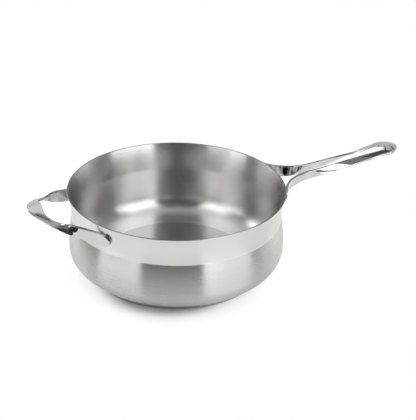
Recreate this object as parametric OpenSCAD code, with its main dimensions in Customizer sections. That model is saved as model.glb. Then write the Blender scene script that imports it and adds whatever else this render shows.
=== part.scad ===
// Saute pan with a flared steel vessel, a capped sandwich base and two welded strap handles.
// The origin is the middle of the base's underside. The long handle points along +X.

/* [Vessel] */
// outer diameter at the rim
rim_d = 280; // [240:1:320]
// height from the table to the rim
pan_h = 110; // [100:1:125]
// thickness of the drawn steel
wall_t = 1.6; // [1.2:0.1:2.4]
// how far the rim stands out past the crease
flare_out = 4.9; // [3:0.1:7]
// depth of the crease below the rim
crease_drop = 37; // [34:0.5:42]
// height of the upright strip above the crease
crease_land = 4; // [2:0.5:6]
// how far the belly stands out past the crease
belly_out = 4.1; // [2:0.1:7]
// depth of the widest place below the rim
belly_drop = 77; // [70:0.5:80]
// width of the rounded corner, from the flat bottom out to the widest place
corner_w = 34.2; // [28:0.1:44]
// width of the bevels on the rim's two edges
rim_bevel = 0.3; // [0.2:0.05:0.5]

/* [Base] */
// how far the cap's side stands in from the belly's widest place
base_in = 23.2; // [17:0.1:28]
// height of the vessel's bottom above the table
base_h = 4.5; // [4:0.1:7]
// thickness of the cap's steel
cap_t = 0.8; // [0.5:0.1:1.2]
// radius of the cap's lower edge
cap_edge_r = 1.6; // [1.3:0.1:2.5]
// free space round the core
core_clear = 0.05; // [0.02:0.01:0.1]

/* [Straps] */
// thickness of both handle straps
strap_t = 3.3; // [2.5:0.1:4]
// width of the bevel along the strap's edges
strap_bevel = 0.6; // [0.4:0.1:0.9]
// space between a foot's back and the wall, which the welds fill
weld_gap = 0.5; // [0.45:0.05:0.8]
// diameter of a weld
weld_d = 5; // [3:0.5:6]
// distance between the two welds of a foot
weld_pitch = 8; // [6.5:0.5:9]
// free space left between a weld and the foot's back
weld_clear = 0.05; // [0.03:0.01:0.1]

/* [Long handle] */
// distance from the rim to the far end of the handle
long_len = 177; // [150:1:200]
// height of the far end above the rim
long_rise = 15; // [5:1:25]
// depth of the middle of the feet below the rim
long_foot_drop = 10.2; // [9.8:0.1:13]
// distance between the places where the two feet leave the wall
long_spread = 95.5; // [84:0.5:100]
// length of a foot along the wall
long_foot_len = 7.3; // [6.5:0.1:14]
// radius of the bend that leads out of a foot
long_bend_r = 58; // [45:1:65]
// radius of the round end of the slot between the arms
long_slot_r = 1.8; // [1.4:0.1:5]
// width of the strap at the feet
long_foot_w = 16; // [14:0.5:17]
// width of the strap along the grip
long_grip_w = 10; // [8:0.5:12]
// width of the strap at the far end
long_end_w = 20; // [16:0.5:21]
// slope of the far end, down towards its outer edge
long_end_tilt = 6; // [0:1:12]

/* [Helper handle] */
// distance from the rim to the far end of the handle
helper_len = 54.5; // [46:0.5:64]
// height of the far end above the rim
helper_rise = 3.4; // [0:0.2:8]
// depth of the middle of the feet below the rim
helper_foot_drop = 19; // [15:0.5:20]
// distance between the places where the two feet leave the wall
helper_spread = 138.1; // [120:0.5:155]
// length of a foot along the wall
helper_foot_len = 10.8; // [8:0.1:16]
// radius of the bend that leads out of a foot
helper_bend_r = 32; // [24:1:36]
// length of the straight stretch between a foot's bend and the round far end
helper_straight = 30.6; // [22:0.1:38]
// width of the strap at the feet
helper_foot_w = 17; // [14:0.5:18]
// width of the strap along the grip
helper_grip_w = 9.5; // [8:0.5:13]
// width of the strap at the far end
helper_end_w = 18.4; // [15:0.2:22]
// slope of the far end, down towards its outer edge
helper_end_tilt = 14; // [0:1:18]

/* [Hidden] */

$fn = 120;
steel = [0.80, 0.80, 0.81];
polished_steel = [0.88, 0.88, 0.89];
core_metal = [0.72, 0.73, 0.75];

// shares of a handle's free length at which its strap narrows to the grip and widens to the end
long_width_shares = [0.12, 0.45, 0.86];
helper_width_shares = [0.23, 0.60, 0.70];
// shares of the free length between which the strap turns from upright to flat
long_twist_shares = [0.22, 0.95];
helper_twist_shares = [0.30, 0.66];
// shares of the free length over which the climb sets in
long_climb_share = 0.45;
helper_climb_share = 0.20;

// how finely the curves of the vessel's outline are stepped
corner_steps = 10;
belly_steps = 5;
band_steps = 6;
// how finely a handle's foot, bend, straight and end are stepped
nose_steps = 6;
bend_steps = 16;
line_steps = 16;
end_steps = 12;
// where on the nose's quarter turn the strap's blunt tip begins
nose_start = 14;

rim_r = rim_d / 2;
crease_r = rim_r - flare_out;
belly_r = crease_r + belly_out;
flat_r = belly_r - corner_w;
base_r = belly_r - base_in;
crease_z = pan_h - crease_drop;
belly_z = pan_h - belly_drop;
flare_h = crease_drop - crease_land;
flare_z = pan_h - flare_h;

// radius of an arc that leaves upright and moves sideways by dx over a height dy
function upright_arc_r(dx, dy) = (dx * dx + dy * dy) / (2 * dx);
flare_r = upright_arc_r(flare_out, flare_h);
belly_arc_r = upright_arc_r(belly_out, crease_z - belly_z);
belly_arc_angle = asin((crease_z - belly_z) / belly_arc_r);
corner_b = belly_z - base_h;

// the band's outer radius and its lean from upright at a depth below the rim
function flare_up(drop) = max(flare_h - drop, 0);
function band_r(drop) = crease_r + flare_r - sqrt(flare_r * flare_r - flare_up(drop) * flare_up(drop));
function band_lean(drop) = asin(flare_up(drop) / flare_r);

// The vessel's side from the flat bottom to the rim, set in from the outside by inset:
// an elliptic corner, the belly's arc and the band's flaring arc.
function side_line(inset) =
    let (band_arc = flare_r + inset)
    let (band_angle = asin(flare_h / band_arc))
    concat(
        [for (i = [0 : corner_steps])
            let (a = 90 * i / corner_steps)
            [flat_r + (corner_w - inset) * sin(a), belly_z - (corner_b - inset) * cos(a)]],
        [for (i = [1 : belly_steps])
            let (a = belly_arc_angle * i / belly_steps)
            [belly_r - belly_arc_r + (belly_arc_r - inset) * cos(a), belly_z + (belly_arc_r - inset) * sin(a)]],
        [for (i = [0 : band_steps])
            let (a = band_angle * i / band_steps)
            [crease_r + flare_r - band_arc * cos(a), flare_z + band_arc * sin(a)]]
    );

function reversed(list) = [for (i = [len(list) - 1 : -1 : 0]) list[i]];
function without_last(list) = [for (i = [0 : len(list) - 2]) list[i]];

// the rim's flat top, with a bevel on each of its edges
function rim_line() =
    let (outside = side_line(0), inside = side_line(wall_t))
    let (out_r = outside[len(outside) - 1].x, in_r = inside[len(inside) - 1].x)
    [[out_r, pan_h - rim_bevel], [out_r - rim_bevel, pan_h], [in_r + rim_bevel, pan_h], [in_r, pan_h - rim_bevel]];

module vessel() {
    color(steel)
    rotate_extrude()
    polygon(concat(
        [[0, base_h]],
        without_last(side_line(0)),
        rim_line(),
        reversed(without_last(side_line(wall_t))),
        [[0, base_h + wall_t]]
    ));
}

// everything inside the vessel's outer face, which the cap and the welds are trimmed to
module vessel_block() {
    rotate_extrude()
    polygon(concat([[0, base_h]], side_line(0), [[0, pan_h]]));
}

module base_core() {
    color(core_metal)
    translate([0, 0, cap_t])
    cylinder(r = base_r - cap_t - core_clear, h = base_h - cap_t);
}

// A shallow cup that holds the core. Its wall climbs to the vessel's rounded corner.
module base_cap() {
    color(steel)
    difference() {
        rotate_extrude()
        polygon(concat(
            [[0, 0]],
            [for (i = [0 : corner_steps])
                let (a = 90 * i / corner_steps)
                [base_r - cap_edge_r * (1 - sin(a)), cap_edge_r * (1 - cos(a))]],
            [[base_r, belly_z], [base_r - cap_t, belly_z], [base_r - cap_t, cap_t], [0, cap_t]]
        ));
        vessel_block();
    }
}

// a smooth step from 0 to 1
function ease(t) = let (c = min(max(t, 0), 1)) c * c * (3 - 2 * c);
function eased(t, from, to) = ease((t - from) / (to - from));
// share of a climb reached at a share of the way: a parabola that runs on as a straight line
function climb(share, start) =
    (share < start ? share * share / (2 * start) : share - start / 2) / (1 - start / 2);

// distance of a foot's middle plane from the pan's axis
function foot_r(drop) = band_r(drop) + (weld_gap + strap_t / 2) / cos(band_lean(drop));
// angle from the handle's line at which a foot leaves the wall
function leave_angle(drop, spread) = asin(spread / 2 / foot_r(drop));
// radius of the far end that leaves a given straight stretch after the bend out of a foot
function end_r_past(drop, spread, bend_r, straight, apex_x) =
    let (leave = leave_angle(drop, spread))
    let (on = apex_x - (foot_r(drop) + bend_r) * cos(leave), off = (foot_r(drop) + bend_r) * sin(leave))
    (on * on + off * off - bend_r * bend_r - straight * straight) / (2 * (on + bend_r));

// Stations along one arm of a loop, seen from above, as [way, x, y, heading].
// The arm lies on the wall, bends out, runs straight and turns round the end to the handle's line.
function arm_plan(drop, spread, lying, bend_r, end_r, apex_x) =
    let (
        wall_r = foot_r(drop),
        leave = leave_angle(drop, spread),
        bend_mid = (wall_r + bend_r) * [cos(leave), sin(leave)],
        end_mid = [apex_x - end_r, 0],
        apart = end_mid - bend_mid,
        heading = atan2(apart.y, apart.x) + asin((bend_r + end_r) / norm(apart)),
        bend_from = leave - 90,
        bend_to = bend_mid + bend_r * [sin(heading), -cos(heading)],
        end_from = end_mid + end_r * [-sin(heading), cos(heading)],
        bend_way = bend_r * (heading - bend_from) * PI / 180,
        line_way = norm(end_from - bend_to),
        end_way = end_r * (heading + 90) * PI / 180
    )
    concat(
        [for (i = [0 : nose_steps])
            let (way = lying * (1 - cos(nose_start + (90 - nose_start) * i / nose_steps)))
            let (a = leave + (lying - way) / wall_r * 180 / PI)
            [way, wall_r * cos(a), wall_r * sin(a), a - 90]],
        [for (i = [1 : bend_steps])
            let (h = bend_from + (heading - bend_from) * i / bend_steps)
            let (p = bend_mid + bend_r * [sin(h), -cos(h)])
            [lying + bend_way * i / bend_steps, p.x, p.y, h]],
        [for (i = [1 : line_steps])
            let (p = bend_to + (end_from - bend_to) * i / line_steps)
            [lying + bend_way + line_way * i / line_steps, p.x, p.y, heading]],
        [for (i = [1 : end_steps])
            let (h = heading - (heading + 90) * i / end_steps)
            let (p = end_mid + end_r * [-sin(h), cos(h)])
            [lying + bend_way + line_way + end_way * i / end_steps, p.x, p.y, h]]
    );

// corners of the strap's bevelled section, across the strap and through its thickness
function strap_section(half_w, half_t) =
    let (b = min(strap_bevel, half_w / 2))
    [[half_w, half_t - b], [half_w - b, half_t], [b - half_w, half_t], [-half_w, half_t - b],
     [-half_w, b - half_t], [b - half_w, -half_t], [half_w - b, -half_t], [half_w, b - half_t]];

// the section's corners at one station, for the arm on the given side of the handle's line
function strap_ring(station, z, width, turn, side) =
    let (
        out = [-sin(station[3]), cos(station[3])],
        across = [-out.x * cos(turn), -out.y * cos(turn), sin(turn)],
        through = [out.x * sin(turn), out.y * sin(turn), cos(turn)]
    )
    [for (c = strap_section(width / 2, strap_t / 2))
        let (p = [station[1], station[2], z] + across * c.x + through * c.y)
        [p.x, side * p.y, p.z]];

// One closed loop of strap: both feet upright on the band, the far end nearly flat.
// The strap's inner edge along the grip is the upper edge of the feet.
module strap_loop(drop, rise, spread, lying, bend_r, end_r, apex_x, widths, end_tilt,
                  width_shares, twist_shares, climb_share) {
    plan = arm_plan(drop, spread, lying, bend_r, end_r, apex_x);
    whole = plan[len(plan) - 1][0];
    foot_turn = 90 + band_lean(drop);
    function free_share(way) = max(way - lying, 0) / (whole - lying);
    function nose(way) = way < lying ? sqrt(1 - pow(1 - way / lying, 2)) : 1;
    function strap_w(way, share) =
        nose(way) * widths[0]
        + (widths[1] - widths[0]) * eased(share, width_shares[0], width_shares[1])
        + (widths[2] - widths[1]) * eased(share, width_shares[2], 1);
    function ring(station, side) =
        let (share = free_share(station[0]))
        strap_ring(
            station,
            pan_h - drop + (drop + rise) * climb(share, climb_share),
            strap_w(station[0], share),
            foot_turn + (end_tilt - foot_turn) * eased(share, twist_shares[0], twist_shares[1]),
            side);
    rings = concat(
        [for (s = plan) ring(s, 1)],
        [for (s = reversed(without_last(plan))) ring(s, -1)]
    );
    corners = len(rings[0]);
    last = len(rings) - 1;
    polyhedron(
        points = [for (r = rings) each r],
        faces = concat(
            [[for (k = [0 : corners - 1]) k]],
            [for (i = [0 : last - 1], k = [0 : corners - 1])
                let (a = i * corners, next = (k + 1) % corners)
                [a + k, a + corners + k, a + corners + next]],
            [for (i = [0 : last - 1], k = [0 : corners - 1])
                let (a = i * corners, next = (k + 1) % corners)
                [a + k, a + corners + next, a + next]],
            [[for (k = [corners - 1 : -1 : 0]) last * corners + k]]
        )
    );
}

module long_handle() {
    color(polished_steel)
    strap_loop(long_foot_drop, long_rise, long_spread, long_foot_len, long_bend_r,
               long_slot_r + long_end_w / 2, rim_r + long_len - long_end_w / 2,
               [long_foot_w, long_grip_w, long_end_w], long_end_tilt,
               long_width_shares, long_twist_shares, long_climb_share);
}

module helper_handle() {
    apex_x = rim_r + helper_len - helper_end_w / 2;
    color(polished_steel)
    rotate([0, 0, 180])
    strap_loop(helper_foot_drop, helper_rise, helper_spread, helper_foot_len, helper_bend_r,
               end_r_past(helper_foot_drop, helper_spread, helper_bend_r, helper_straight, apex_x),
               apex_x, [helper_foot_w, helper_grip_w, helper_end_w], helper_end_tilt,
               helper_width_shares, helper_twist_shares, helper_climb_share);
}

// The welds of one handle: a pair of round nuggets behind each foot, between the wall and the foot.
// They stand a third of the foot's length from where it leaves the wall.
module foot_welds(drop, spread, lying) {
    lean = band_lean(drop);
    back_r = foot_r(drop) - (strap_t / 2 + weld_clear) / cos(lean);
    half_h = weld_pitch;
    at = leave_angle(drop, spread) + lying / 3 / foot_r(drop) * 180 / PI;
    intersection() {
        difference() {
            translate([0, 0, pan_h - drop - half_h])
            cylinder(r1 = back_r - half_h * tan(lean), r2 = back_r + half_h * tan(lean), h = 2 * half_h);
            vessel_block();
        }
        for (side = [-1, 1], level = [-1, 1])
            rotate([0, 0, side * at])
            translate([back_r + level * weld_pitch / 2 * sin(lean), 0, pan_h - drop + level * weld_pitch / 2])
            rotate([0, 90 + lean, 0])
            cylinder(d = weld_d, h = weld_d, center = true);
    }
}

module long_handle_welds() {
    color(steel)
    foot_welds(long_foot_drop, long_spread, long_foot_len);
}

module helper_handle_welds() {
    color(steel)
    rotate([0, 0, 180])
    foot_welds(helper_foot_drop, helper_spread, helper_foot_len);
}

vessel();
base_core();
base_cap();
long_handle();
helper_handle();
long_handle_welds();
helper_handle_welds();
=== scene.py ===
"""A steel saute pan with a flared vessel, a capped base and two loops of twisted strap for handles."""

import math

import bmesh
import bpy
import numpy as np
from bpy.props import FloatProperty, FloatVectorProperty, IntProperty, PointerProperty
from mathutils import Matrix, Vector


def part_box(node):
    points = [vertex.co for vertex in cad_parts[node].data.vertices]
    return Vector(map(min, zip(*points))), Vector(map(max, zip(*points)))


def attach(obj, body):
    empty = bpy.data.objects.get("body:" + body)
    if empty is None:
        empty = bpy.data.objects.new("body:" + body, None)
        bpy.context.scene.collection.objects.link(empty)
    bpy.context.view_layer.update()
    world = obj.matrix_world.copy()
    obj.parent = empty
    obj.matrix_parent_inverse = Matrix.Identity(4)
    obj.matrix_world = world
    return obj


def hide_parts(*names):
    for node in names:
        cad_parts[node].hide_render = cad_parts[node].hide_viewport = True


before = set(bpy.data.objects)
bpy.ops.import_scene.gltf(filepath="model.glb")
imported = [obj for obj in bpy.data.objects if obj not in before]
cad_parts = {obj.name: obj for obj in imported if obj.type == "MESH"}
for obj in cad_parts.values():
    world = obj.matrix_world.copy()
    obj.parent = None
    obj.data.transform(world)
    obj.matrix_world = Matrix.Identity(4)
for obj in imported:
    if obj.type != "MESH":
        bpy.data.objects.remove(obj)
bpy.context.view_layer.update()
VESSEL_LOW, VESSEL_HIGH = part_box("vessel")
CAP_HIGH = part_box("base_cap")[1]
LONG_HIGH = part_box("long_handle")[1]
HELPER_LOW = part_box("helper_handle")[0]

bl_info = {
    "name": "Saute pan",
    "version": (1, 0, 0),
    "blender": (4, 5, 0),
    "location": "3D View > Sidebar > Pan",
    "description": "Builds a polished and brushed steel saute pan and its studio",
    "category": "Object",
}

BODY = "root"
MM = 0.001
MICRON = 0.000001
# The corner of the tilted strap reaches a hair past the length that is asked for, so the long
# handle asks for this much less than its solid's box.
END_CLEARANCE = 0.06 * MM


def length(name, description, default):
    """A size in metres."""
    return FloatProperty(name=name, description=description, default=default, unit="LENGTH", precision=5)


def angle(name, description, default_degrees):
    """An angle, given in degrees and kept in radians."""
    return FloatProperty(
        name=name, description=description, default=math.radians(default_degrees), unit="ROTATION"
    )


def share(name, description, default):
    """A share of a whole, from 0 to 1."""
    return FloatProperty(name=name, description=description, default=default, min=0, max=1, subtype="FACTOR")


def level(name, description, default):
    """A plain strength."""
    return FloatProperty(name=name, description=description, default=default, min=0)


def colour(name, description, default):
    """A colour in linear light."""
    return FloatVectorProperty(
        name=name, description=description, default=default, size=3, min=0, max=1, subtype="COLOR"
    )


class VesselSizes(bpy.types.PropertyGroup):
    """Sizes of the drawn vessel."""

    rim_radius: length("Rim radius", "Outer radius at the rim", VESSEL_HIGH.y)
    height: length("Height", "From the table to the rim", VESSEL_HIGH.z)
    bottom: length("Bottom", "Height of the vessel's bottom above the table", VESSEL_LOW.z)
    wall: length("Wall", "Thickness of the steel", 1.6 * MM)
    crease_radius: length("Crease radius", "Outer radius at the crease", 135.1 * MM)
    crease_drop: length("Crease depth", "Depth of the crease below the rim", 37 * MM)
    crease_land: length("Crease land", "Height of the upright strip above the crease", 4 * MM)
    belly_radius: length("Belly radius", "Outer radius of the belly at its widest", 139.2 * MM)
    belly_drop: length("Belly depth", "Depth of the widest place below the rim", 77 * MM)
    flat_radius: length("Flat radius", "Radius of the flat bottom", 105 * MM)
    rim_round: length("Rim rounding", "Radius of the rim's edges", 0.45 * MM)
    turns: IntProperty(name="Turns", description="Steps round the vessel", default=288, min=24)


class CapSizes(bpy.types.PropertyGroup):
    """Sizes of the base cap."""

    radius: length("Radius", "Outer radius of the cap", CAP_HIGH.x)
    top: length("Top", "Height of the cap's upper edge", CAP_HIGH.z)
    steel: length("Steel", "Thickness of the cap's steel", 0.8 * MM)
    edge_radius: length("Edge radius", "Radius of the lower edge", 1.6 * MM)
    seam_round: length("Seam rounding", "Radius of the upper edge", 0.25 * MM)


class StrapSizes(bpy.types.PropertyGroup):
    """Sizes that both handles share."""

    thickness: length("Thickness", "Thickness of the strap", 3.3 * MM)
    edge_round: length("Edge rounding", "Radius of the strap's edges", 0.75 * MM)
    weld_gap: length("Weld gap", "Space between a foot and the wall", 0.5 * MM)


class LongHandleSizes(bpy.types.PropertyGroup):
    """Sizes of the long handle."""

    reach: length("Reach", "From the pan's axis to the far end", LONG_HIGH.x - END_CLEARANCE)
    rise: length("Rise", "Height of the far end above the rim", 15 * MM)
    foot_drop: length("Foot depth", "Depth of the feet's middle below the rim", 10.2 * MM)
    tip_angle: angle("Tip angle", "From the handle's line to a foot's tip", 23)
    leave_angle: angle("Leave angle", "From the handle's line to where a foot leaves the wall", 20)
    bend_radius: length("Bend radius", "Radius of the bend out of a foot", 58 * MM)
    end_radius: length("End radius", "Radius of the strap's middle round the end", 11.8 * MM)
    foot_width: length("Foot width", "Width of the strap at the feet", 16 * MM)
    grip_width: length("Grip width", "Width of the strap along the grip", 10 * MM)
    end_width: length("End width", "Width of the strap at the far end", 20 * MM)
    end_tilt: angle("End tilt", "Slope of the far end down to its outer edge", 6)
    narrow_from: share("Narrow from", "Share of the free length where the foot starts to narrow", 0.12)
    narrow_to: share("Narrow to", "Share at which the grip's width is reached", 0.45)
    widen_from: share("Widen from", "Share at which the end starts to widen", 0.86)
    twist_from: share("Twist from", "Share at which the quarter turn starts", 0.22)
    twist_to: share("Twist to", "Share at which the quarter turn ends", 0.95)
    climb_start: share("Climb start", "Share over which the climb sets in", 0.45)


class HelperHandleSizes(bpy.types.PropertyGroup):
    """Sizes of the helper handle."""

    reach: length("Reach", "From the pan's axis to the far end", -HELPER_LOW.x)
    rise: length("Rise", "Height of the far end above the rim", 3.4 * MM)
    foot_drop: length("Foot depth", "Depth of the feet's middle below the rim", 19 * MM)
    tip_angle: angle("Tip angle", "From the handle's line to a foot's tip", 34.5)
    leave_angle: angle("Leave angle", "From the handle's line to where a foot leaves the wall", 30)
    bend_radius: length("Bend radius", "Radius of the bend out of a foot", 32 * MM)
    end_radius: length("End radius", "Radius of the strap's middle round the end", 48 * MM)
    foot_width: length("Foot width", "Width of the strap at the feet", 17 * MM)
    grip_width: length("Grip width", "Width of the strap along the grip", 9.5 * MM)
    end_width: length("End width", "Width of the strap at the far end", 18.4 * MM)
    end_tilt: angle("End tilt", "Slope of the far end down to its outer edge", 14)
    narrow_from: share("Narrow from", "Share of the free length where the foot starts to narrow", 0.23)
    narrow_to: share("Narrow to", "Share at which the grip's width is reached", 0.60)
    widen_from: share("Widen from", "Share at which the end starts to widen", 0.70)
    twist_from: share("Twist from", "Share at which the quarter turn starts", 0.30)
    twist_to: share("Twist to", "Share at which the quarter turn ends", 0.66)
    climb_start: share("Climb start", "Share over which the climb sets in", 0.20)


class Finishes(bpy.types.PropertyGroup):
    """Colours of the metals."""

    satin: colour("Satin steel", "Steel of the brushed belly", (0.603, 0.601, 0.598))
    fine: colour("Fine steel", "Steel of the finely polished band", (0.73, 0.728, 0.725))
    inside: colour("Inside steel", "Steel of the vessel's inner side", (0.86, 0.857, 0.853))
    # Painted shade: the floor is the same drawn steel as the inside, given darker to stand in for the dark
    # that it mirrors.
    floor: colour("Floor steel", "Steel of the vessel's inner floor", (0.65, 0.648, 0.645))
    mirror: colour("Mirror steel", "Steel of the polished handles", (0.67, 0.667, 0.663))
    # Painted shade: the cap's steel is given darker than the vessel's, standing in for the shade under the
    # belly that the cap sits in and mirrors.
    cap: colour("Cap steel", "Steel of the base cap", (0.43, 0.43, 0.433))
    core: colour("Core metal", "Aluminium of the core", (0.80, 0.80, 0.81))
    weld: colour("Weld metal", "Steel of the welds", (0.52, 0.51, 0.50))


class StudioSettings(bpy.types.PropertyGroup):
    """Camera, table and light."""

    distance: length("Distance", "From the camera to the middle of the mouth, along the view", 1.4036)
    elevation: angle("Elevation", "Height of the camera above the horizon", 27.54)
    azimuth: angle("Azimuth", "Turn of the camera round the pan", -22.2)
    roll: angle("Roll", "Turn of the camera about its own line of sight", 1.56)
    focal: FloatProperty(name="Focal length", description="In millimetres", default=94.3, unit="CAMERA")
    aim_right: level("Aim right", "Aim to the right of the mouth, as a share of the distance", 0.02814)
    aim_down: level("Aim down", "Aim below the mouth, as a share of the distance", 0.02069)
    floor_radius: length("Floor radius", "Radius of the table", 0.33)
    table_drop: length("Table drop", "Gap left under the pan", 0.0002)
    table_white: share("Table white", "Colour of the table", 0.9)
    table_roughness: share("Table roughness", "Roughness of the table", 0.12)
    table_lift: share("Table lift", "What the camera sees on top of the lit table", 0.68)
    table_mirrored: share("Table mirrored", "What mirrors see on top of the lit table", 0.37)
    # These six settings place and size the painted shade: where the table's lift fades out round the pan,
    # giving a painted contact shadow and a faint halo.
    contact_ahead: length("Contact ahead", "From the axis towards the camera to the shade's middle", 0.05)
    contact_left: length("Contact left", "From the axis to the camera's left to the shade's middle", 0.009)
    contact_from: length("Contact from", "Distance from that middle where the lift sets in", 0.067)
    contact_to: length("Contact to", "Distance where most of the lift is there", 0.092)
    halo_to: length("Halo to", "Distance where the lift is whole", 0.17)
    halo_share: share("Halo share", "Share of the lift that the faint outer shade takes", 0.45)
    room_radius: length("Room radius", "From the pan to the light panels", 2.0)
    room_middle: length("Room middle", "Height of the room's middle", 0.08)
    base_level: level("Room", "Level of the room between the light panels", 0.315)


class PanSettings(bpy.types.PropertyGroup):
    """Everything that the panel shows."""

    vessel: PointerProperty(name="Vessel", type=VesselSizes)
    cap: PointerProperty(name="Base cap", type=CapSizes)
    strap: PointerProperty(name="Strap", type=StrapSizes)
    long_handle: PointerProperty(name="Long handle", type=LongHandleSizes)
    helper_handle: PointerProperty(name="Helper handle", type=HelperHandleSizes)
    finishes: PointerProperty(name="Finishes", type=Finishes)
    studio: PointerProperty(name="Studio", type=StudioSettings)


# Surfaces

# How many steps each stretch of the vessel's profile takes, from the bottom's middle to the floor's.
BOTTOM_STEPS = 12
CORNER_STEPS = 30
BELLY_STEPS = 26
LAND_STEPS = 4
FLARE_STEPS = 22
RIM_STEPS = 6
FLOOR_STEPS = 16
# The same for the cap: its underside, its lower edge, its upper edge and its inner floor.
CAP_UNDER_STEPS = 40
CAP_EDGE_STEPS = 8
CAP_SEAM_STEPS = 4
CAP_FLOOR_STEPS = 4
# The same along one arm of a strap, and round its section.
FOOT_STEPS = 14
BEND_STEPS = 44
ARM_STEPS = 60
END_STEPS = 40
FILLET_STEPS = 5
FLAT_STEPS = 8
# A foot's tip starts at this angle of its quarter ellipse, where the strap has some width.
TIP_START = math.radians(4)
# Most of the half width that the rounding of the strap's edges may take.
LARGEST_FILLET = 0.9


def steps(start, end, count):
    """Evenly spaced values, both ends included."""
    return np.linspace(start, end, count + 1)


def full_turn(count):
    """Angles once round. The last is the first again, so that the seam closes exactly."""
    around = steps(0, 2 * math.pi, count)
    around[-1] = 0
    return around


def ellipse_arc(centre, radii, angles):
    """Points at centre + (radius_r cos a, radius_z sin a) for each angle a."""
    return np.stack([centre[0] + radii[0] * np.cos(angles), centre[1] + radii[1] * np.sin(angles)], 1)


def straight(start, end, count):
    """Points on the straight line from start to end."""
    return np.asarray(start) + steps(0, 1, count)[:, None] * (np.asarray(end) - np.asarray(start))


def upright_arc_radius(dx, dy):
    """Radius of an arc that leaves upright and moves sideways by dx over a height dy."""
    return (dx * dx + dy * dy) / (2 * dx)


def flare_height(vessel, drop=0):
    """Height above the start of the flare, at a depth below the rim."""
    return max(vessel.crease_drop - vessel.crease_land - drop, 0)


def flare_radius(vessel):
    """Radius of the band's flaring arc."""
    return upright_arc_radius(vessel.rim_radius - vessel.crease_radius, flare_height(vessel))


def band_radius(vessel, drop):
    """Outer radius of the band at a depth below the rim: an arc that leaves the crease upright."""
    up = flare_height(vessel, drop)
    arc = flare_radius(vessel)
    return vessel.crease_radius + arc - math.sqrt(arc * arc - up * up)


def band_lean(vessel, drop):
    """Lean of the band from upright at a depth below the rim, in radians."""
    return math.asin(flare_height(vessel, drop) / flare_radius(vessel))


def side_profile(vessel, inset):
    """The vessel's side from the flat bottom to the rim, set in by inset, as belly and band points.

    The belly is a quarter ellipse and then an arc that leaves the widest place upright. The band
    is a short upright strip and an arc that leaves it upright and flares out to the rim.
    """
    crease_z = vessel.height - vessel.crease_drop
    belly_z = vessel.height - vessel.belly_drop
    flare_z = crease_z + vessel.crease_land
    corner = (vessel.belly_radius - vessel.flat_radius - inset, belly_z - vessel.bottom - inset)
    belly_arc = upright_arc_radius(vessel.belly_radius - vessel.crease_radius, crease_z - belly_z)
    belly_top = math.asin((crease_z - belly_z) / belly_arc)
    belly_mid = (vessel.belly_radius - belly_arc, belly_z)
    flare_arc = flare_radius(vessel) + inset
    flare_mid = (vessel.crease_radius + flare_radius(vessel), flare_z)
    flare_top = math.asin((vessel.height - vessel.rim_round - flare_z) / flare_arc)
    belly = np.concatenate([
        ellipse_arc((vessel.flat_radius, belly_z), corner, steps(-math.pi / 2, 0, CORNER_STEPS)),
        ellipse_arc(belly_mid, (belly_arc - inset,) * 2, steps(0, belly_top, BELLY_STEPS))[1:],
    ])
    flare = ellipse_arc(flare_mid, (-flare_arc, flare_arc), steps(0, flare_top, FLARE_STEPS))
    land = straight((vessel.crease_radius - inset, crease_z), flare[0], LAND_STEPS)[:-1]
    return belly, np.concatenate([land, flare])


def rounded_rim(outer_end, inner_end, top, radius):
    """The rim's top: a quarter circle on each edge, joined by a flat."""
    radii = (radius, radius)
    outer_mid = (outer_end[0] - radius, top - radius)
    inner_mid = (inner_end[0] + radius, top - radius)
    outer = ellipse_arc(outer_mid, radii, steps(0, math.pi / 2, RIM_STEPS))
    inner = ellipse_arc(inner_mid, radii, steps(math.pi / 2, math.pi, RIM_STEPS))
    return outer, inner


def path_length(points):
    """Distance along a polyline, from its first point to each point."""
    return np.concatenate([[0], np.cumsum(np.linalg.norm(np.diff(points, axis=0), axis=1))])


def grid_mesh(name, points, uv, finish_rows=None):
    """A mesh from a grid of points, with one quad between neighbours and the grid's own UV map.

    Rows run along the first axis. Points that fall together, at a seam or a pole, are merged.
    finish_rows gives the material index of the quads between a row and the next.
    """
    rows, columns = points.shape[:2]
    index = np.arange(rows * columns).reshape(rows, columns)
    quads = np.stack([index[:-1, :-1], index[:-1, 1:], index[1:, 1:], index[1:, :-1]], 2).reshape(-1, 4)
    mesh = bpy.data.meshes.new(name)
    mesh.from_pydata(points.reshape(-1, 3).tolist(), [], quads.tolist())
    layer = mesh.uv_layers.new(name="Brush")
    layer.data.foreach_set("uv", uv.reshape(-1, 2)[quads.reshape(-1)].astype(np.float32).ravel())
    if finish_rows is not None:
        mesh.polygons.foreach_set("material_index", np.repeat(finish_rows, columns - 1).astype(np.int32))
    work = bmesh.new()
    work.from_mesh(mesh)
    bmesh.ops.remove_doubles(work, verts=work.verts, dist=MICRON)
    work.to_mesh(mesh)
    work.free()
    mesh.shade_smooth()
    mesh.update()
    return mesh


def turned_mesh(name, profile, turns, finish_rows=None):
    """A surface of revolution: each profile point (r, z) goes round the upright axis.

    The UV map holds the distance along the profile and the distance round the widest circle.
    """
    angles = full_turn(turns)
    r = profile[:, :1]
    z = profile[:, 1:]
    points = np.stack([r * np.cos(angles), r * np.sin(angles), z + 0 * angles], 2)
    along = np.broadcast_to(path_length(profile)[:, None], points.shape[:2])
    around = np.broadcast_to(steps(0, 2 * math.pi, turns) * profile[:, 0].max(), points.shape[:2])
    return grid_mesh(name, points, np.stack([along, around], 2), finish_rows)


def eased(t, start, end):
    """A smooth step: 0 before start, 1 after end, and 3c^2 - 2c^3 between."""
    c = np.clip((t - start) / (end - start), 0, 1)
    return c * c * (3 - 2 * c)


def climb(t, start):
    """Share of a climb at share t of the way: a parabola up to start, then a straight line."""
    return np.where(t < start, t * t / (2 * start), t - start / 2) / (1 - start / 2)


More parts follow.
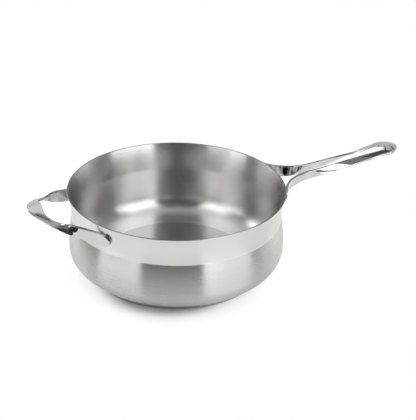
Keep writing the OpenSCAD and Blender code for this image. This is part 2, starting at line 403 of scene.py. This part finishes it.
def arm_plan(handle, lying_radius, apex):
    """One arm of a loop from above, from a foot's tip to the handle's line.

    An arc on the wall, a bend outwards, their common tangent and an arc round the end. Returns
    the way along it, its points, its headings and the length that lies on the wall.
    """
    leave = handle.leave_angle
    foot_angle = handle.tip_angle - leave
    bend_mid = (lying_radius + handle.bend_radius) * np.array([math.cos(leave), math.sin(leave)])
    end_mid = np.array([apex - handle.end_radius, 0.0])
    apart = end_mid - bend_mid
    crossing = math.asin((handle.bend_radius + handle.end_radius) / np.linalg.norm(apart))
    heading = math.atan2(apart[1], apart[0]) + crossing
    lying = lying_radius * foot_angle
    foot = handle.tip_angle - (1 - np.cos(steps(TIP_START, math.pi / 2, FOOT_STEPS))) * foot_angle
    bend = steps(leave - math.pi / 2, heading, BEND_STEPS)
    end = steps(heading, -math.pi / 2, END_STEPS)
    on_wall = lying_radius * np.stack([np.cos(foot), np.sin(foot)], 1)
    on_bend = bend_mid + handle.bend_radius * np.stack([np.sin(bend), -np.cos(bend)], 1)
    on_end = end_mid + handle.end_radius * np.stack([-np.sin(end), np.cos(end)], 1)
    on_line = straight(on_bend[-1], on_end[0], ARM_STEPS)[1:-1]
    points = np.concatenate([on_wall, on_bend[1:], on_line, on_end])
    headings = np.concatenate([foot - math.pi / 2, bend[1:], np.full(len(on_line), heading), end])
    way = path_length(points) + lying_radius * (handle.tip_angle - foot[0])
    return way, points, headings, lying


def strap_section(half_width, half_thickness, radius):
    """Corners of a rounded rectangle round the strap, one row for each half width.

    A quarter circle of the given radius stands at each corner, and the flats between are split.
    """
    fillet = np.minimum(radius, half_width * LARGEST_FILLET)[:, None]
    quarter = steps(0, math.pi / 2, FILLET_STEPS)
    flat = steps(0, 1, FLAT_STEPS)[1:-1]
    right = half_width[:, None] - fillet
    low = half_thickness - fillet

    def corner(side, face, angles):
        """A quarter circle round the middle that lies towards a side and a face of the strap."""
        return side * right + fillet * np.cos(angles), face * low + fillet * np.sin(angles)

    top_right = corner(1, 1, quarter)
    top_left = corner(-1, 1, quarter + math.pi / 2)
    bottom_left = corner(-1, -1, quarter + math.pi)
    bottom_right = corner(1, -1, quarter + 1.5 * math.pi)
    top = (right * (1 - 2 * flat), half_thickness + 0 * right * flat)
    bottom = (-right * (1 - 2 * flat), -half_thickness + 0 * right * flat)
    parts = [top_right, top, top_left, bottom_left, bottom, bottom_right]
    across = np.concatenate([p[0] for p in parts], 1)
    through = np.concatenate([p[1] for p in parts], 1)
    return across, through


def strap_loop_mesh(name, handle, strap, vessel, facing):
    """A closed loop of strap, swept along both arms of arm_plan.

    The section's width runs from the foot to the grip and the end in smooth steps, and shrinks
    as a quarter ellipse towards each foot's tip. The section turns from upright, leaning with the
    band, to nearly flat. facing is 1 for a handle along +X and -1 for one along -X.
    """
    lean = band_lean(vessel, handle.foot_drop)
    stand_off = (strap.weld_gap + strap.thickness / 2) / math.cos(lean)
    lying_radius = band_radius(vessel, handle.foot_drop) + stand_off
    way, points, headings, lying = arm_plan(handle, lying_radius, handle.reach - handle.end_width / 2)
    free = np.maximum(way - lying, 0) / (way[-1] - lying)
    tip = np.sqrt(1 - np.clip(1 - way / lying, 0, 1) ** 2)
    width = (
        tip * handle.foot_width
        + (handle.grip_width - handle.foot_width) * eased(free, handle.narrow_from, handle.narrow_to)
        + (handle.end_width - handle.grip_width) * eased(free, handle.widen_from, 1)
    )
    climbed = (handle.foot_drop + handle.rise) * climb(free, handle.climb_start)
    height = vessel.height - handle.foot_drop + climbed
    upright = math.pi / 2 + lean
    turn = upright + (handle.end_tilt - upright) * eased(free, handle.twist_from, handle.twist_to)
    across, through = strap_section(width / 2, strap.thickness / 2, strap.edge_round)
    out = np.stack([-np.sin(headings), np.cos(headings)], 1)
    side_on = np.concatenate([-out * np.cos(turn)[:, None], np.sin(turn)[:, None]], 1)
    face_on = np.concatenate([out * np.sin(turn)[:, None], np.cos(turn)[:, None]], 1)
    middle = np.concatenate([points, height[:, None]], 1)
    rings = middle[:, None] + across[..., None] * side_on[:, None] + through[..., None] * face_on[:, None]
    mirrored = rings[-2::-1] * np.array([1, -1, 1])
    rings = np.concatenate([rings, mirrored]) * np.array([facing, facing, 1])
    rings = np.concatenate([rings, rings[:, :1]], 1)
    whole = np.concatenate([way, 2 * way[-1] - way[-2::-1]])
    around = np.concatenate([across, across[-2::-1]])
    around = np.concatenate([around, around[:, :1]], 1)
    uv = np.stack([np.broadcast_to(whole[:, None], around.shape), around], 2)
    mesh = grid_mesh(name, rings[:, ::-1], uv[:, ::-1])
    close_ends(mesh)
    return mesh


def close_ends(mesh):
    """Fills the two open rings of a swept strap and turns every face outwards."""
    work = bmesh.new()
    work.from_mesh(mesh)
    open_edges = [e for e in work.edges if e.is_boundary]
    bmesh.ops.holes_fill(work, edges=open_edges, sides=0)
    bmesh.ops.recalc_face_normals(work, faces=work.faces)
    work.to_mesh(mesh)
    work.free()


# Nodes


def node_material(name):
    """A new node material and its tree."""
    material = bpy.data.materials.new(name)
    material.use_nodes = True
    return material, material.node_tree


def glowing(name):
    """A material that only glows, and its glow node."""
    material, tree = node_material(name)
    glow = tree.nodes.new("ShaderNodeEmission")
    tree.links.new(glow.outputs[0], tree.nodes["Material Output"].inputs["Surface"])
    return material, glow


def feed(tree, given, socket):
    """Sets a socket to a number, or links another node's result to it."""
    if isinstance(given, (int, float)):
        socket.default_value = given
    else:
        tree.links.new(given, socket)


def calculated(tree, operation, *inputs):
    """Adds a math node whose inputs are numbers or other nodes' results, and gives its result."""
    made = tree.nodes.new("ShaderNodeMath")
    made.operation = operation
    for given, socket in zip(inputs, made.inputs):
        feed(tree, given, socket)
    return made.outputs[0]


def ranged(tree, value, start, end, low=0, high=1, shape="LINEAR"):
    """Adds a node that takes a value between start and end to one between low and high."""
    made = tree.nodes.new("ShaderNodeMapRange")
    made.interpolation_type = shape
    made.inputs["From Min"].default_value = start
    made.inputs["From Max"].default_value = end
    made.inputs["To Min"].default_value = low
    made.inputs["To Max"].default_value = high
    tree.links.new(value, made.inputs["Value"])
    return made.outputs[0]


# Finishes

# Nearly all of a noise texture lies between these two values.
NOISE_LOW = 0.3
NOISE_HIGH = 0.7
# Scales that stretch noise into streaks round the vessel, round the cap and along a strap, and
# one that leaves it as it is.
BRUSHED_WAY = (1.0, 0.012, 1.0)
TURNED_WAY = (1.0, 0.004, 1.0)
BUFFED_WAY = (0.03, 1.0, 1.0)
EVERY_WAY = (1.0, 1.0, 1.0)


class Finish:
    """A node material with a metal shader, and short ways to add nodes to it."""

    def __init__(self, name, base, roughness, anisotropy=0.0):
        self.material, self.tree = node_material(name)
        self.shader = self.tree.nodes["Principled BSDF"]
        self.shader.inputs["Metallic"].default_value = 1.0
        self.shader.inputs["Base Color"].default_value = (*base, 1)
        self.shader.inputs["Roughness"].default_value = roughness
        self.shader.inputs["Anisotropic"].default_value = anisotropy
        self.base = base
        if anisotropy:
            tangent = self.tree.nodes.new("ShaderNodeTangent")
            tangent.direction_type = "UV_MAP"
            tangent.uv_map = "Brush"
            self.tree.links.new(tangent.outputs[0], self.shader.inputs["Tangent"])

    def place(self, source, stretch):
        """Coordinates from the UV map or the object, scaled."""
        found = self.tree.nodes.new("ShaderNodeTexCoord")
        mapping = self.tree.nodes.new("ShaderNodeMapping")
        mapping.inputs["Scale"].default_value = stretch
        self.tree.links.new(found.outputs[source], mapping.inputs["Vector"])
        return mapping.outputs[0]

    def noise(self, place, scale, detail, low=0, high=1):
        """Noise at a place, spread from low to high."""
        texture = self.tree.nodes.new("ShaderNodeTexNoise")
        texture.inputs["Scale"].default_value = scale
        texture.inputs["Detail"].default_value = detail
        self.tree.links.new(place, texture.inputs["Vector"])
        return ranged(self.tree, texture.outputs["Fac"], NOISE_LOW, NOISE_HIGH, low, high)

    def mottle(self, scale, detail, low=0, high=1):
        """Noise that runs the same every way over the piece."""
        return self.noise(self.place("Object", EVERY_WAY), scale, detail, low, high)

    def rough(self, value):
        """Roughness from a value."""
        self.tree.links.new(value, self.shader.inputs["Roughness"])

    def tint(self, value, dark, light):
        """Base colour between a darker and a lighter share of the metal's own."""
        mixed = self.tree.nodes.new("ShaderNodeMix")
        mixed.data_type = "RGBA"
        mixed.inputs["A"].default_value = (*[c * dark for c in self.base], 1)
        mixed.inputs["B"].default_value = (*[min(c * light, 1) for c in self.base], 1)
        self.tree.links.new(value, mixed.inputs["Factor"])
        self.tree.links.new(mixed.outputs["Result"], self.shader.inputs["Base Color"])

    def bump(self, value, distance):
        """Relief from a value, in metres."""
        relief = self.tree.nodes.new("ShaderNodeBump")
        relief.inputs["Distance"].default_value = distance
        relief.inputs["Strength"].default_value = 1.0
        self.tree.links.new(value, relief.inputs["Height"])
        self.tree.links.new(relief.outputs[0], self.shader.inputs["Normal"])


def brushed(name, base, roughness, spread, relief, anisotropy=1.0):
    """Steel brushed round the vessel: fine streaks that run along each circle."""
    finish = Finish(name, base, roughness, anisotropy)
    streaks = finish.place("UV", BRUSHED_WAY)
    fine = finish.noise(streaks, scale=2600, detail=3)
    broad = finish.noise(streaks, scale=420, detail=2)
    clouds = finish.mottle(scale=22, detail=3, low=-0.5, high=0.5)
    mixed = calculated(finish.tree, "MULTIPLY", fine, broad)
    streaked = ranged(finish.tree, mixed, 0, 1, roughness - spread, roughness + spread)
    finish.rough(calculated(finish.tree, "MULTIPLY_ADD", clouds, spread, streaked))
    finish.tint(broad, dark=0.975, light=1.01)
    finish.bump(fine, relief)
    return finish.material


def polished(name, base, roughness):
    """Mirror steel with faint buffing lines, soft ripples and a few dull smears."""
    finish = Finish(name, base, roughness)
    finish.rough(finish.mottle(scale=60, detail=4, low=roughness * 0.7, high=roughness * 1.5))
    finish.tint(finish.noise(finish.place("UV", BUFFED_WAY), scale=2200, detail=2), dark=0.985, light=1.0)
    finish.bump(finish.mottle(scale=35, detail=1), 40 * MICRON)
    return finish.material


def turned(name, base, roughness):
    """Lathe-turned steel: fine rings about the upright axis."""
    finish = Finish(name, base, roughness, anisotropy=0.55)
    rings = finish.noise(finish.place("UV", TURNED_WAY), scale=1500, detail=3)
    finish.tint(rings, dark=0.94, light=1.02)
    finish.bump(rings, 20 * MICRON)
    finish.rough(finish.mottle(scale=30, detail=3, low=roughness * 0.8, high=roughness * 1.25))
    return finish.material


def cast_look(name, base, roughness, scale):
    """Plain metal with a mottled surface, for what lies hidden."""
    finish = Finish(name, base, roughness)
    grain = finish.mottle(scale, detail=5)
    finish.tint(grain, dark=0.8, light=1.05)
    finish.bump(grain, 80 * MICRON)
    finish.rough(finish.mottle(scale * 0.4, detail=2, low=roughness * 0.8, high=roughness * 1.2))
    return finish.material


def add_piece(name, mesh, materials, nodes):
    """Links a finished mesh as a piece that stands for CAD nodes and rides on the pan."""
    piece = bpy.data.objects.new(name, mesh)
    bpy.context.scene.collection.objects.link(piece)
    for material in materials:
        mesh.materials.append(material)
    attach(piece, BODY)
    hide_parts(*nodes)


def repaint(node, material):
    """Gives a CAD node a new material."""
    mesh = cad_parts[node].data
    mesh.materials.clear()
    mesh.materials.append(material)


# Operators


class PAN_OT_vessel(bpy.types.Operator):
    """Turn the vessel from its profile, with a satin belly, a fine band and a brushed inside"""

    bl_idname = "saute_pan.vessel"
    bl_label = "Vessel"

    def execute(self, context):
        vessel = context.scene.saute_pan.vessel
        colours = context.scene.saute_pan.finishes
        belly, band = side_profile(vessel, 0)
        inner_belly, inner_band = side_profile(vessel, vessel.wall)
        rim_out, rim_in = rounded_rim(band[-1], inner_band[-1], vessel.height, vessel.rim_round)
        floor_z = vessel.bottom + vessel.wall
        bottom = straight((0, vessel.bottom), belly[0], BOTTOM_STEPS)[:-1]
        floor = straight(inner_belly[0], (0, floor_z), FLOOR_STEPS)[1:]
        parts = [bottom, belly, band, rim_out, rim_in, inner_band[::-1], inner_belly[::-1], floor]
        # The places of the finishes in the list of materials below.
        satin, fine, inside, painted_shade_floor = range(4)
        kinds = [satin, satin, fine, fine, fine, inside, inside, painted_shade_floor]
        finish_rows = np.concatenate([np.full(len(p), k) for p, k in zip(parts, kinds)])[:-1]
        mesh = turned_mesh("Vessel", np.concatenate(parts), vessel.turns, finish_rows)
        materials = [
            brushed("Satin belly", colours.satin, roughness=0.285, spread=0.012, relief=0.14 * MICRON),
            brushed("Fine band", colours.fine, roughness=0.155, spread=0.01, relief=0.3 * MICRON,
                    anisotropy=0.926),
            brushed("Brushed inside", colours.inside, roughness=0.25, spread=0.016, relief=0.2 * MICRON),
            # Painted shade: the floor's darker colour stands in for the dark that it mirrors from the inner
            # wall.
            brushed("Brushed floor", colours.floor, roughness=0.25, spread=0.016, relief=0.2 * MICRON),
        ]
        add_piece("Vessel", mesh, materials, ["vessel"])
        return {"FINISHED"}


class PAN_OT_base(bpy.types.Operator):
    """Turn the base cap and finish the core that it holds"""

    bl_idname = "saute_pan.base"
    bl_label = "Base"

    def execute(self, context):
        cap = context.scene.saute_pan.cap
        colours = context.scene.saute_pan.finishes
        edge_mid = (cap.radius - cap.edge_radius, cap.edge_radius)
        seam_mid = (cap.radius - cap.seam_round, cap.top - cap.seam_round)
        under = straight((0, 0), (cap.radius - cap.edge_radius, 0), CAP_UNDER_STEPS)
        edge = ellipse_arc(edge_mid, (cap.edge_radius,) * 2, steps(-math.pi / 2, 0, CAP_EDGE_STEPS))
        seam = ellipse_arc(seam_mid, (cap.seam_round,) * 2, steps(0, math.pi / 2, CAP_SEAM_STEPS))
        lip = np.array([[cap.radius - cap.steel, cap.top]])
        inside = straight((cap.radius - cap.steel, cap.steel), (0, cap.steel), CAP_FLOOR_STEPS)
        profile = np.concatenate([under, edge[1:], seam, lip, inside])
        mesh = turned_mesh("Base_cap", profile, context.scene.saute_pan.vessel.turns)
        # Painted shade: the cap's dark colour stands in for the shade under the belly's overhang.
        material = turned("Turned cap", colours.cap, roughness=0.3)
        add_piece("Base_cap", mesh, [material], ["base_cap"])
        repaint("base_core", cast_look("Rolled aluminium", colours.core, roughness=0.4, scale=160))
        return {"FINISHED"}


class PAN_OT_long_handle(bpy.types.Operator):
    """Sweep the long handle's strap and polish it"""

    bl_idname = "saute_pan.long_handle"
    bl_label = "Long handle"

    def execute(self, context):
        pan = context.scene.saute_pan
        mesh = strap_loop_mesh("Long_handle", pan.long_handle, pan.strap, pan.vessel, facing=1)
        material = polished("Polished strap", pan.finishes.mirror, roughness=0.05)
        add_piece("Long_handle", mesh, [material], ["long_handle"])
        return {"FINISHED"}


class PAN_OT_helper_handle(bpy.types.Operator):
    """Sweep the helper handle's strap and polish it"""

    bl_idname = "saute_pan.helper_handle"
    bl_label = "Helper handle"

    def execute(self, context):
        pan = context.scene.saute_pan
        mesh = strap_loop_mesh("Helper_handle", pan.helper_handle, pan.strap, pan.vessel, facing=-1)
        material = polished("Polished helper strap", pan.finishes.mirror, roughness=0.05)
        add_piece("Helper_handle", mesh, [material], ["helper_handle"])
        return {"FINISHED"}


class PAN_OT_welds(bpy.types.Operator):
    """Finish the weld nuggets behind the feet"""

    bl_idname = "saute_pan.welds"
    bl_label = "Welds"

    def execute(self, context):
        weld = context.scene.saute_pan.finishes.weld
        material = cast_look("Weld metal", weld, roughness=0.5, scale=900)
        repaint("long_handle_welds", material)
        repaint("helper_handle_welds", material)
        return {"FINISHED"}


class PAN_OT_studio(bpy.types.Operator):
    """Set the camera, the white table and the soft light panels"""

    bl_idname = "saute_pan.studio"
    bl_label = "Studio"

    def execute(self, context):
        studio = context.scene.saute_pan.studio
        vessel = context.scene.saute_pan.vessel
        aim_camera(studio, Vector((0, 0, vessel.height)))
        whiten_world()
        light_room(studio)
        lay_table(studio)
        hang_cards(studio)
        context.scene.view_settings.view_transform = "Standard"
        return {"FINISHED"}


# Studio

# What the camera takes in, from near to far.
CLIP_START = 0.05
CLIP_END = 50
# Steps of the round room, up and round, and of the table round its middle.
ROOM_ROWS = 24
ROOM_TURNS = 48
TABLE_TURNS = 96
# Radii of the table's inner rings. Its own radius is the outer one.
TABLE_RINGS = (0.0, 0.12, 0.2)


def add_stage(name, mesh):
    """Links a mesh that belongs to the studio."""
    made = bpy.data.objects.new(name, mesh)
    bpy.context.scene.collection.objects.link(made)
    return made


def aim_camera(studio, mouth):
    """Puts the camera on its line to the mouth, with the mouth up and left of the picture's middle."""
    turn = Matrix.Rotation(studio.azimuth, 3, "Z")
    forward = turn @ Vector((0, math.cos(studio.elevation), -math.sin(studio.elevation)))
    level_right = turn @ Vector((1, 0, 0))
    level_up = level_right.cross(forward)
    right = level_right * math.cos(studio.roll) + level_up * math.sin(studio.roll)
    up = level_up * math.cos(studio.roll) - level_right * math.sin(studio.roll)
    towards_mouth = forward - right * studio.aim_right + up * studio.aim_down
    camera = bpy.data.objects.new("Camera", bpy.data.cameras.new("Camera"))
    bpy.context.scene.collection.objects.link(camera)
    camera.data.lens = studio.focal
    camera.data.clip_start = CLIP_START
    camera.data.clip_end = CLIP_END
    axes = Matrix((right, up, -forward)).transposed()
    camera.matrix_world = Matrix.Translation(mouth - towards_mouth * studio.distance) @ axes.to_4x4()
    bpy.context.scene.camera = camera


# Light panels of the room: azimuth from the camera's side, positive to the right of the pan, and
# elevation, both in degrees, as (azimuth from, to, elevation from, to, level, softness).
PANELS = {
    "backdrop": (96, 248, -90, 6.7, 1.20, 12),
    "overhead": (0, 360, 51.5, 91, 0.50, 10),
    "right": (29, 80.5, -60, 60, 1.64, 5),
    "left": (281, 331.5, -60, 60.5, 1.47, 5),
    "gap left": (255, 281, 12, 56, 0.16, 6),
    "gap right": (80.5, 118, 12, 56, 0.16, 6),
    "rear left": (225, 258.5, 15.5, 41.5, 2.21, 8),
    "rear right": (115.5, 143.5, 3.5, 29, 1.30, 8),
    "camera side": (-32.7, 26.8, -90, 73.5, 0.06, 6),
    "rear": (166, 196, 9, 66, 0.10, 8),
}


def window(tree, value, start, end, softness):
    """1 where a value lies between start and end and 0 outside, with a soft step at each."""
    half = softness / 2
    rise = ranged(tree, value, start - half, start + half, 0, 1, "SMOOTHSTEP")
    fall = ranged(tree, value, end - half, end + half, 1, 0, "SMOOTHSTEP")
    return calculated(tree, "MULTIPLY", rise, fall)


def room_level(tree, direction, studio):
    """Adds the nodes that give the room's level in a direction, and gives their last result."""
    from_camera = tree.nodes.new("ShaderNodeMapping")
    from_camera.inputs["Rotation"].default_value = (0, 0, -studio.azimuth)
    tree.links.new(direction, from_camera.inputs["Vector"])
    parts = tree.nodes.new("ShaderNodeSeparateXYZ")
    tree.links.new(from_camera.outputs[0], parts.inputs[0])
    towards = calculated(tree, "MULTIPLY", parts.outputs["Y"], -1)
    heading = calculated(tree, "ARCTAN2", parts.outputs["X"], towards)
    rise = calculated(tree, "ARCSINE", parts.outputs["Z"])
    azimuth = calculated(tree, "MULTIPLY", heading, math.degrees(1))
    elevation = calculated(tree, "MULTIPLY", rise, math.degrees(1))
    shade = studio.base_level
    for start, end, low, high, panel_level, softness in PANELS.values():
        half = (end - start) / 2
        turned_off = calculated(tree, "SUBTRACT", azimuth, (start + end) / 2)
        off = calculated(tree, "ABSOLUTE", calculated(tree, "WRAP", turned_off, 180, -180))
        sideways = window(tree, off, -half, half, softness)
        upwards = window(tree, elevation, low, high, softness)
        mixed = tree.nodes.new("ShaderNodeMix")
        feed(tree, calculated(tree, "MULTIPLY", sideways, upwards), mixed.inputs["Factor"])
        feed(tree, shade, mixed.inputs["A"])
        feed(tree, panel_level, mixed.inputs["B"])
        shade = mixed.outputs["Result"]
    return shade


def whiten_world():
    """A white world that only the camera sees."""
    world = bpy.data.worlds.new("Studio")
    bpy.context.scene.world = world
    world.use_nodes = True
    path = world.node_tree.nodes.new("ShaderNodeLightPath")
    background = world.node_tree.nodes["Background"]
    background.inputs["Color"].default_value = (1, 1, 1, 1)
    world.node_tree.links.new(path.outputs["Is Camera Ray"], background.inputs["Strength"])


def light_room(studio):
    """A round room whose wall carries the soft-edged panels, and that the camera doesn't see."""
    up = steps(-math.pi / 2, math.pi / 2, ROOM_ROWS)[:, None]
    around = full_turn(ROOM_TURNS)
    out = np.cos(up)
    points = np.stack([out * np.cos(around), out * np.sin(around), np.sin(up) + 0 * around], 2)
    middle = np.array([0, 0, studio.room_middle])
    room = add_stage("Room", grid_mesh("Room", points * studio.room_radius + middle, points[..., :2]))
    room.visible_camera = False
    material, glow = glowing("Light panels")
    tree = material.node_tree
    found = tree.nodes.new("ShaderNodeTexCoord")
    centred = tree.nodes.new("ShaderNodeVectorMath")
    centred.operation = "SUBTRACT"
    centred.inputs[1].default_value = middle
    direction = tree.nodes.new("ShaderNodeVectorMath")
    direction.operation = "NORMALIZE"
    tree.links.new(found.outputs["Object"], centred.inputs[0])
    tree.links.new(centred.outputs[0], direction.inputs[0])
    tree.links.new(room_level(tree, direction.outputs[0], studio), glow.inputs["Strength"])
    room.data.materials.append(material)


def lay_table(studio):
    """A round white table, lit like any white surface and lifted to white for what looks at it.

    The lift fades out round a middle set ahead of and to the left of the pan's axis. This paints a contact
    shadow under the belly and a faint halo of shade round it, on top of the table's own shading, for the
    camera and for mirrors alike.
    """
    around = full_turn(TABLE_TURNS)
    r = np.array([*TABLE_RINGS, studio.floor_radius])[:, None]
    points = np.stack([r * np.cos(around), r * np.sin(around), 0 * r * around - studio.table_drop], 2)
    table = add_stage("Table", grid_mesh("Table", points, points[..., :2]))
    material, tree = node_material("White table")
    shader = tree.nodes["Principled BSDF"]
    shader.inputs["Base Color"].default_value = (*[studio.table_white] * 3, 1)
    shader.inputs["Roughness"].default_value = studio.table_roughness
    found = tree.nodes.new("ShaderNodeTexCoord")
    distance = tree.nodes.new("ShaderNodeVectorMath")
    distance.operation = "DISTANCE"
    turn = Matrix.Rotation(studio.azimuth, 3, "Z")
    distance.inputs[1].default_value = turn @ Vector((-studio.contact_left, -studio.contact_ahead, 0))
    tree.links.new(found.outputs["Object"], distance.inputs[0])
    away = distance.outputs["Value"]
    # Painted shadow: near the pan the lift fades to nothing, in a sharp step and then a wider faint halo, so
    # the table turns dark there.
    painted_shadow_fade = ranged(tree, away, studio.contact_from, studio.contact_to, shape="SMOOTHSTEP")
    painted_halo_fade = ranged(tree, away, studio.contact_from, studio.halo_to, low=1 - studio.halo_share)
    path = tree.nodes.new("ShaderNodeLightPath")
    seen = calculated(tree, "MULTIPLY", path.outputs["Is Camera Ray"], studio.table_lift)
    glossy = path.outputs["Is Glossy Ray"]
    lift = calculated(tree, "MULTIPLY_ADD", glossy, studio.table_mirrored, seen)
    glow = tree.nodes.new("ShaderNodeEmission")
    shade = calculated(tree, "MULTIPLY", painted_shadow_fade, painted_halo_fade)
    tree.links.new(calculated(tree, "MULTIPLY", lift, shade), glow.inputs["Strength"])
    both = tree.nodes.new("ShaderNodeAddShader")
    tree.links.new(shader.outputs[0], both.inputs[0])
    tree.links.new(glow.outputs[0], both.inputs[1])
    tree.links.new(both.outputs[0], tree.nodes["Material Output"].inputs["Surface"])
    table.data.materials.append(material)


# Small cards that only mirrors see, held near the handles. Their places are in metres from the
# pan's axis, with x to the camera's right and y away from it, and these are their heights.
CARD_HEIGHT = 0.201
FLAG_HEIGHT = 0.2
LINE_HEIGHT = 0.1995
LOW_HEIGHT = 0.06
PAPER_HEIGHT = 0.001
# The front edge of the card over the helper handle, with a dark line along it.
HELPER_EDGE = [(-0.215, -0.038), (-0.197, -0.0393), (-0.184, -0.045), (-0.172, -0.0495), (-0.16, -0.052),
               (-0.145, -0.0526)]
# Flat cards: the corners' x and y, height, level.
CARDS = {
    "Card over the long handle": (
        [(0.24, 0.13), (0.2835, 0.1), (0.36, 0.06), (0.4, 0.2), (0.42, 0.45), (0.25, 0.5), (0.22, 0.3)],
        CARD_HEIGHT,
        0.60,
    ),
    "Flag over the long handle": (
        [(0.236, 0.062), (0.252, 0.043), (0.265, 0.028), (0.283, 0.01), (0.32, -0.03), (0.335, -0.03),
         (0.31, 0.03), (0.29, 0.09), (0.284, 0.17), (0.28, 0.175), (0.266, 0.147), (0.258, 0.142),
         (0.24, 0.13), (0.235, 0.1)],
        FLAG_HEIGHT,
        0.26,
    ),
    "Card right of the long handle": (
        [(0.29, 0.09), (0.31, 0.03), (0.335, -0.02), (0.42, -0.03), (0.42, 0.06), (0.36, 0.06),
         (0.2835, 0.1)],
        CARD_HEIGHT,
        0.42,
    ),
    "Card over the helper handle": (
        [(-0.3, -0.035), *HELPER_EDGE, (-0.135, -0.052), (-0.135, 0.06), (-0.3, 0.09)],
        FLAG_HEIGHT,
        0.87,
    ),
    "Grey flag over the helper handle": (
        [(-0.14, -0.112), (-0.12, -0.1), (-0.06, -0.1), (-0.03, -0.3), (-0.17, -0.3)],
        FLAG_HEIGHT,
        0.22,
    ),
    "Dark flag over the helper handle": (
        [(-0.117, -0.13), (-0.1, -0.1), (-0.03, -0.1), (0.0, -0.3), (-0.13, -0.3)],
        LINE_HEIGHT,
        0.06,
    ),
    "Paper right of the table": (
        [(0.328, 0.02), (0.46, 0.02), (0.5, -0.4), (0.25, -0.4), (0.25, -0.217), (0.3, -0.13)],
        PAPER_HEIGHT,
        0.9,
    ),
    "Dark flag under the helper handle": (
        [(-0.137, -0.138), (-0.141, -0.4), (-0.32, -0.4), (-0.25, -0.138)],
        LOW_HEIGHT,
        0.04,
    ),
}
# Upright screens: the two ends of their foot line as x and y, low and high, level.
SCREENS = {
    "Screen behind the long handle": ((0.22, 0.3), (0.38, 0.3), 0.1, 0.18, 0.62),
    "Screen behind the helper handle": ((-0.32, 0.09), (-0.165, 0.09), 0.06, 0.145, 0.66),
    "Screen left of the helper handle": ((-0.24, -0.085), (-0.135, -0.2), 0.107, 0.165, 0.22),
}
# Flat dark strips: the middle line's x and y, width at its first and last point, level.
LINES = {
    "Line over the long handle": (
        [(0.2617, 0.104), (0.2641, 0.13), (0.271, 0.155), (0.2776, 0.17), (0.283, 0.176), (0.292, 0.1785),
         (0.3015, 0.185), (0.31, 0.194), (0.3178, 0.2066)],
        0.0018,
        0.0085,
        0.08,
    ),
    "Line over the helper handle": (HELPER_EDGE, 0.0032, 0.001, 0.05),
}
# One more strip stands upright beside the long handle, all at one y: its points are x and height.
SIDE_LINE = [(0.361, 0.0225), (0.345, 0.05), (0.323, 0.088), (0.3115, 0.12), (0.306, 0.149),
             (0.3065, 0.174)]
SIDE_LINE_WIDTHS = (0.021, 0.003)
SIDE_LINE_AWAY = -0.08
SIDE_LINE_LEVEL = 0.04


def strip_corners(middle, first_width, last_width):
    """The corners of a flat strip along a middle line, whose width grows evenly with the way along it."""
    middle = np.asarray(middle)
    way = path_length(middle)
    width = first_width + (last_width - first_width) * way / way[-1]
    heading = np.gradient(middle, way, axis=0)
    aside = np.stack([-heading[:, 1], heading[:, 0]], 1) / np.linalg.norm(heading, axis=1)[:, None]
    left = middle + aside * width[:, None] / 2
    right = middle - aside * width[:, None] / 2
    return np.concatenate([left, right[::-1]])


def hang_card(studio, name, corners, card_level):
    """Hangs a flat card that neither lights the table nor shades it, and that the camera doesn't see."""
    turn = Matrix.Rotation(studio.azimuth, 3, "Z")
    mesh = bpy.data.meshes.new(name)
    mesh.from_pydata([turn @ Vector(corner) for corner in corners], [], [range(len(corners))])
    card = add_stage(name, mesh)
    card.visible_camera = False
    card.visible_diffuse = False
    card.visible_shadow = False
    material, glow = glowing(name)
    glow.inputs["Strength"].default_value = card_level
    mesh.materials.append(material)


def hang_cards(studio):
    """Hangs the cards, the screens and the lines."""
    for name, (outline, height, card_level) in CARDS.items():
        hang_card(studio, name, [(x, y, height) for x, y in outline], card_level)
    for name, (first, last, low, high, card_level) in SCREENS.items():
        corners = [(*first, low), (*last, low), (*last, high), (*first, high)]
        hang_card(studio, name, corners, card_level)
    for name, (middle, first_width, last_width, card_level) in LINES.items():
        outline = strip_corners(middle, first_width, last_width)
        hang_card(studio, name, [(x, y, LINE_HEIGHT) for x, y in outline], card_level)
    outline = strip_corners(SIDE_LINE, *SIDE_LINE_WIDTHS)
    corners = [(x, SIDE_LINE_AWAY, z) for x, z in outline]
    hang_card(studio, "Line beside the long handle", corners, SIDE_LINE_LEVEL)


# Every group of settings has these two of its own, and the sidebar leaves them out.
UNLISTED = ("rna_type", "name")


class PAN_PT_sidebar(bpy.types.Panel):
    """Lists the pan's pieces and the studio"""

    bl_label = "Saute pan"
    bl_space_type = "VIEW_3D"
    bl_region_type = "UI"
    bl_category = "Pan"

    def draw(self, context):
        for operator in STEPS:
            self.layout.operator(operator.bl_idname)
        pan = context.scene.saute_pan
        for name, group in pan.bl_rna.properties.items():
            if name in UNLISTED:
                continue
            box = self.layout.box()
            box.label(text=group.name)
            sizes = getattr(pan, name)
            for size in sizes.bl_rna.properties.keys():
                if size not in UNLISTED:
                    box.prop(sizes, size)


STEPS = (
    PAN_OT_vessel,
    PAN_OT_base,
    PAN_OT_long_handle,
    PAN_OT_helper_handle,
    PAN_OT_welds,
    PAN_OT_studio,
)
CLASSES = (
    VesselSizes,
    CapSizes,
    StrapSizes,
    LongHandleSizes,
    HelperHandleSizes,
    Finishes,
    StudioSettings,
    PanSettings,
    *STEPS,
    PAN_PT_sidebar,
)


def register():
    """Registers the classes and the settings on the scene."""
    for cls in CLASSES:
        bpy.utils.register_class(cls)
    bpy.types.Scene.saute_pan = PointerProperty(type=PanSettings)


def unregister():
    """Takes the settings and the classes away again."""
    del bpy.types.Scene.saute_pan
    for cls in reversed(CLASSES):
        bpy.utils.unregister_class(cls)


def main():
    """Builds the pan and its studio."""
    register()
    bpy.ops.saute_pan.vessel()
    bpy.ops.saute_pan.base()
    bpy.ops.saute_pan.long_handle()
    bpy.ops.saute_pan.helper_handle()
    bpy.ops.saute_pan.welds()
    bpy.ops.saute_pan.studio()


if __name__ == "__main__":
    main()
